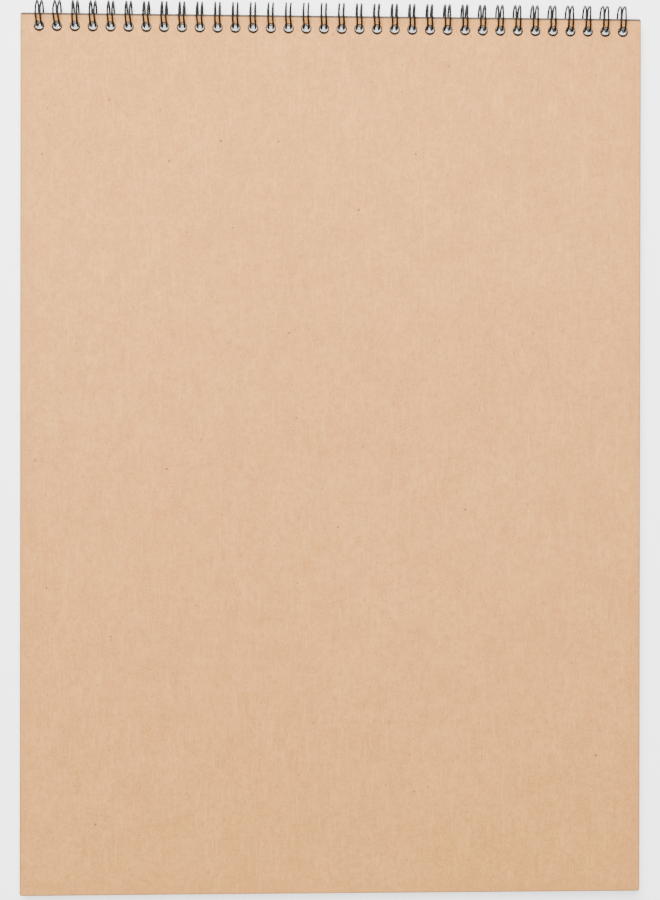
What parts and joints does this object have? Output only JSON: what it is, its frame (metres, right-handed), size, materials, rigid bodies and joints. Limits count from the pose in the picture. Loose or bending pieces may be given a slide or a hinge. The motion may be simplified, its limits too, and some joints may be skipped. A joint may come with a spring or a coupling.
{
  "type": "sketchbook",
  "caption": "Portrait wire-bound sketchbook with a plain kraft card cover, white drawing sheets, a grey back board and a black double-loop wire along the short top edge.",
  "frame": {"origin": "middle of the bounding box's bottom face; the book lies on its back, with the wire's outer circle touching z = 0", "axes": "+Z out of the front cover, +Y from the foot of the book towards the bound edge, +X to the right as the cover is read"},
  "size_m": [0.297, 0.4266, 0.0127],
  "materials": {
    "kraft_card": "matte brown kraft card with fine fibres and dark flecks",
    "drawing_paper": "matte white drawing paper with a light tooth",
    "grey_board": "matte grey-brown solid board",
    "coated_wire": "satin black coating"
  },
  "bodies": {
    "base": {"back_board": "grey_board", "binding_wire": "coated_wire"},
    "leaf_08": {"sheet_08": "drawing_paper"},
    "leaf_07": {"sheet_07": "drawing_paper"},
    "leaf_06": {"sheet_06": "drawing_paper"},
    "leaf_05": {"sheet_05": "drawing_paper"},
    "leaf_04": {"sheet_04": "drawing_paper"},
    "leaf_03": {"sheet_03": "drawing_paper"},
    "leaf_02": {"sheet_02": "drawing_paper"},
    "leaf_01": {"sheet_01": "drawing_paper"},
    "cover": {"front_cover": "kraft_card"}
  },
  "joints": [
    {"name": "turn_sheet_08", "type": "hinge", "parent": "base", "child": "leaf_08", "pos_m": [0, 0.20688, 0.00645], "axis": [-1, 0, 0], "range_deg": [0, 180]},
    {"name": "turn_sheet_07", "type": "hinge", "parent": "leaf_08", "child": "leaf_07", "pos_m": [0, 0.20688, 0.00645], "axis": [-1, 0, 0], "range_deg": [0, 180]},
    {"name": "turn_sheet_06", "type": "hinge", "parent": "leaf_07", "child": "leaf_06", "pos_m": [0, 0.20688, 0.00645], "axis": [-1, 0, 0], "range_deg": [0, 180]},
    {"name": "turn_sheet_05", "type": "hinge", "parent": "leaf_06", "child": "leaf_05", "pos_m": [0, 0.20688, 0.00645], "axis": [-1, 0, 0], "range_deg": [0, 180]},
    {"name": "turn_sheet_04", "type": "hinge", "parent": "leaf_05", "child": "leaf_04", "pos_m": [0, 0.20688, 0.00645], "axis": [-1, 0, 0], "range_deg": [0, 180]},
    {"name": "turn_sheet_03", "type": "hinge", "parent": "leaf_04", "child": "leaf_03", "pos_m": [0, 0.20688, 0.00645], "axis": [-1, 0, 0], "range_deg": [0, 180]},
    {"name": "turn_sheet_02", "type": "hinge", "parent": "leaf_03", "child": "leaf_02", "pos_m": [0, 0.20688, 0.00645], "axis": [-1, 0, 0], "range_deg": [0, 180]},
    {"name": "turn_sheet_01", "type": "hinge", "parent": "leaf_02", "child": "leaf_01", "pos_m": [0, 0.20688, 0.00645], "axis": [-1, 0, 0], "range_deg": [0, 180]},
    {"name": "turn_cover", "type": "hinge", "parent": "leaf_01", "child": "cover", "pos_m": [0, 0.20688, 0.00645], "axis": [-1, 0, 0], "range_deg": [0, 180]}
  ]
}
